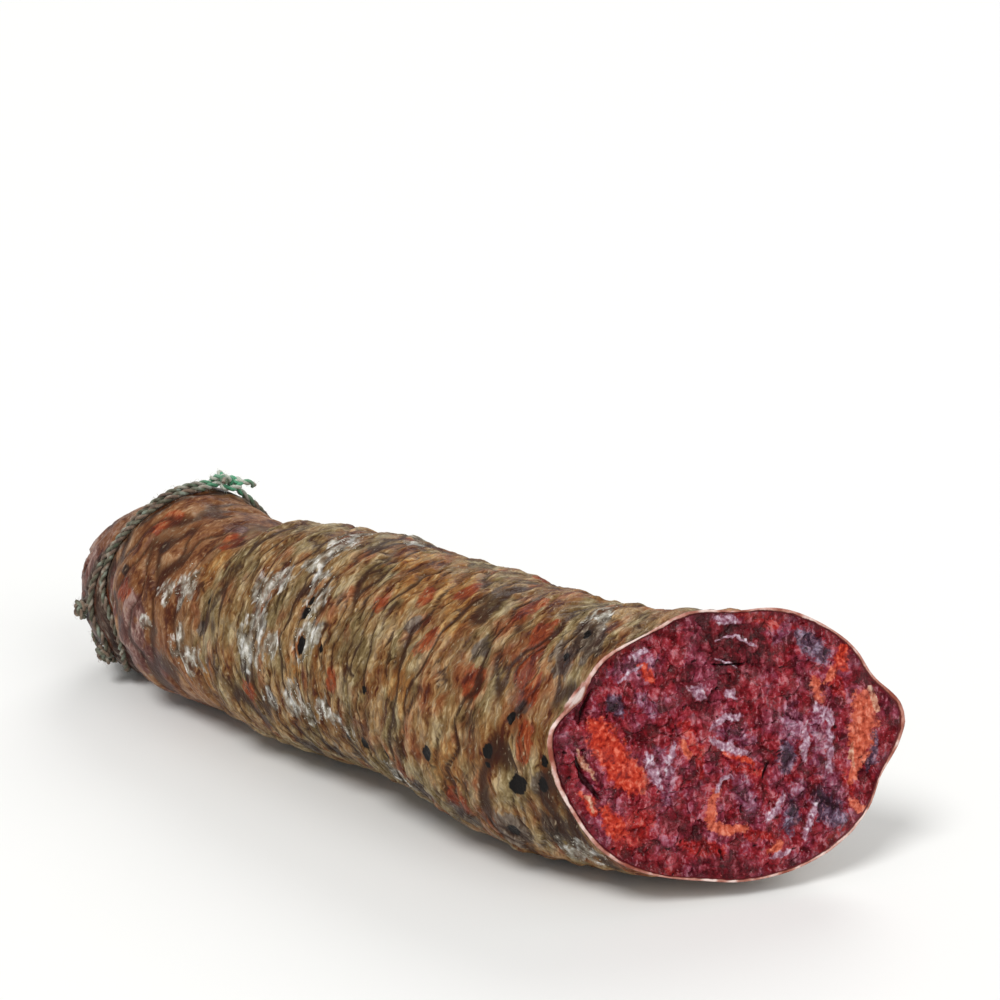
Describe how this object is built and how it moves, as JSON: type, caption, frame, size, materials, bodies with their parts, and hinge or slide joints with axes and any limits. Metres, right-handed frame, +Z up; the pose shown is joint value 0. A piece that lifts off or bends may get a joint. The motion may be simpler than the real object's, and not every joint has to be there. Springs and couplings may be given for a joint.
{
  "type": "cured sausage",
  "caption": "Half of a thick cured sausage lying on its side, cut obliquely at one end to show the marbled filling, rounded and tied with twine at the other.",
  "frame": {"origin": "middle of the bounding box, on the surface that the sausage rests on", "axes": "+X along the sausage from the tied end to the cut end, -Y the side that the cut faces, +Z up"},
  "size_m": [0.225, 0.07, 0.0581],
  "materials": {
    "casing": "dry wrinkled natural casing, olive brown with rusty patches and a pale grey bloom, satin",
    "filling": "coarse cured meat, dark red with orange and lilac pieces of fat, moist where cut",
    "twine": "two-ply twine, off-white and green, dry and slightly frayed"
  },
  "bodies": {
    "root": {"casing": "casing", "filling": "filling", "twine": "twine"}
  },
  "joints": []
}
